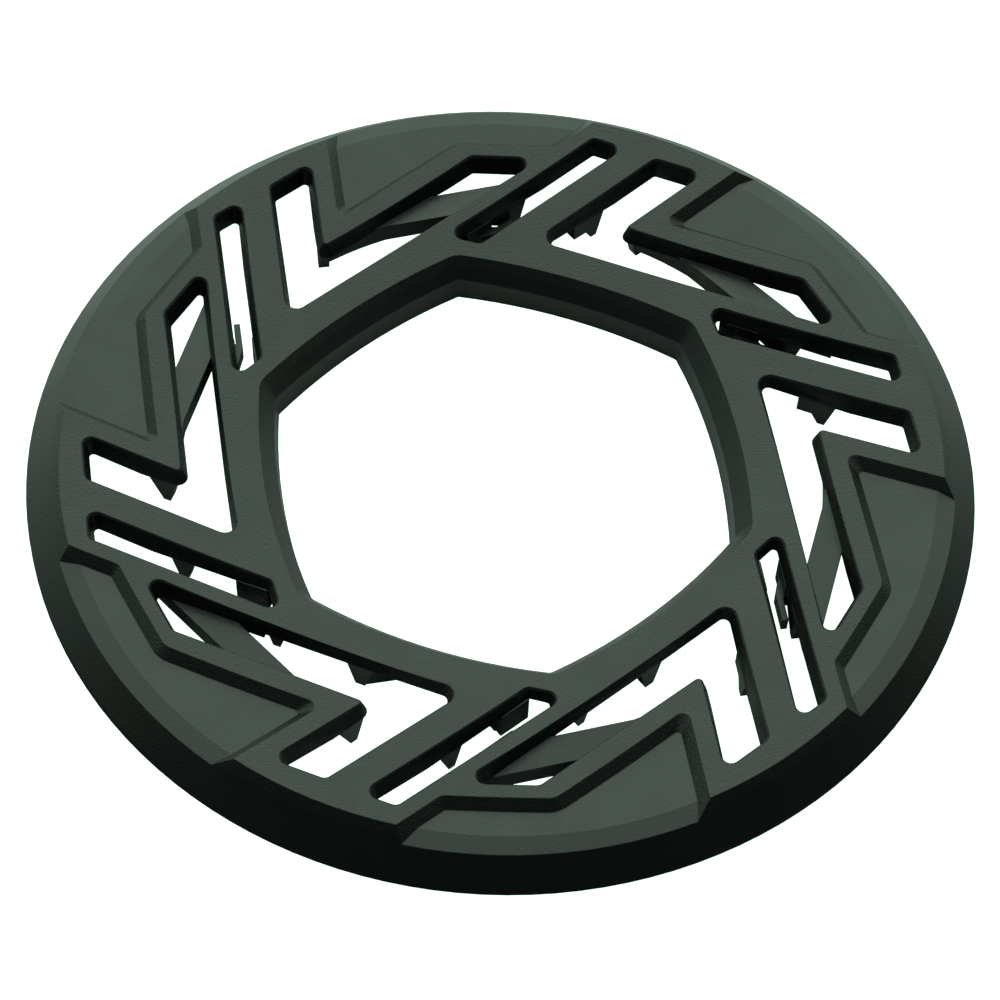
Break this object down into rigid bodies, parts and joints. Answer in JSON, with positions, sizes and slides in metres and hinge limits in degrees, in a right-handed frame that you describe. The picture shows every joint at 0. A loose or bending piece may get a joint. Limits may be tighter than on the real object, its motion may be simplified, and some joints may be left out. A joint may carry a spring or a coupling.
{
  "type": "chainring guard",
  "caption": "Round dished plastic guard that snaps over a bicycle chainring and keeps the chain and clothing clear of its teeth.",
  "frame": {"origin": "on the axis of the ring, in the plane of the collar's foot", "axes": "+Z along the axis of the ring towards its dished face, +Y towards the middle of one sector"},
  "size_m": [0.1646, 0.1646, 0.0116],
  "materials": {
    "guard": "fine-grained moulded black plastic, satin on the sunk panels"
  },
  "bodies": {
    "root": {"guard": "guard"}
  },
  "joints": []
}
